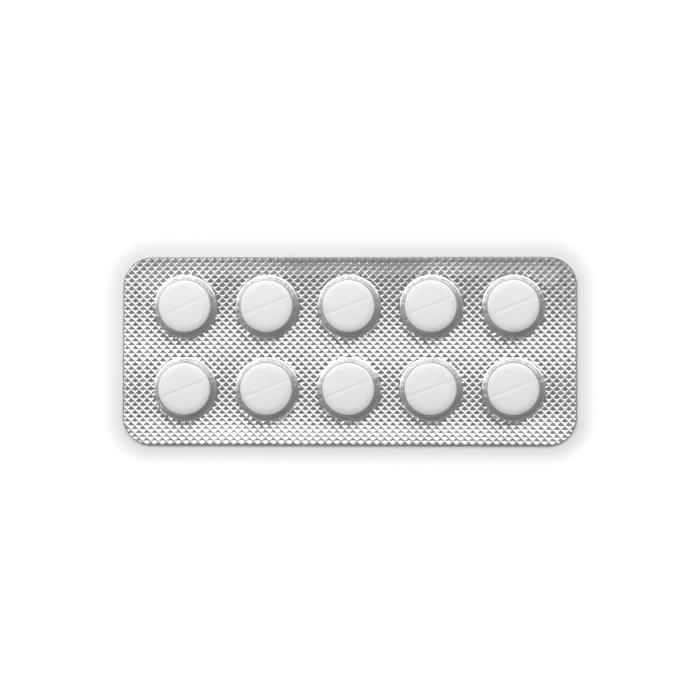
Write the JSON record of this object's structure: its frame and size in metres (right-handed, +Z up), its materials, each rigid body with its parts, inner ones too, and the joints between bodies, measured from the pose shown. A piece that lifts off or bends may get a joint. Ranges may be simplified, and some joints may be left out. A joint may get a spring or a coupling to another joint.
{
  "type": "blister pack of tablets",
  "caption": "Blister pack of round white scored tablets: a clear thermoformed film with domed pockets, heat-sealed to an aluminium foil with a fine diagonal knurl.",
  "frame": {"origin": "middle of the card's outline, on the underside of the lidding foil, which the pack lies on", "axes": "+X along the card, +Y across it towards the long edge with the narrower margin, +Z up out of the foil towards the pockets"},
  "size_m": [0.094, 0.039, 0.0043],
  "materials": {
    "foil": "bright rolled foil, embossed with a diagonal knurl by the sealing tool",
    "tablet": "uncoated pressed powder, matt off-white",
    "film": "clear glossy PVC sheet"
  },
  "bodies": {
    "root": {"lidding_foil": "foil", "tablet_1": "tablet", "tablet_2": "tablet", "tablet_3": "tablet", "tablet_4": "tablet", "tablet_5": "tablet", "tablet_6": "tablet", "tablet_7": "tablet", "tablet_8": "tablet", "tablet_9": "tablet", "tablet_10": "tablet", "forming_film": "film"}
  },
  "joints": []
}
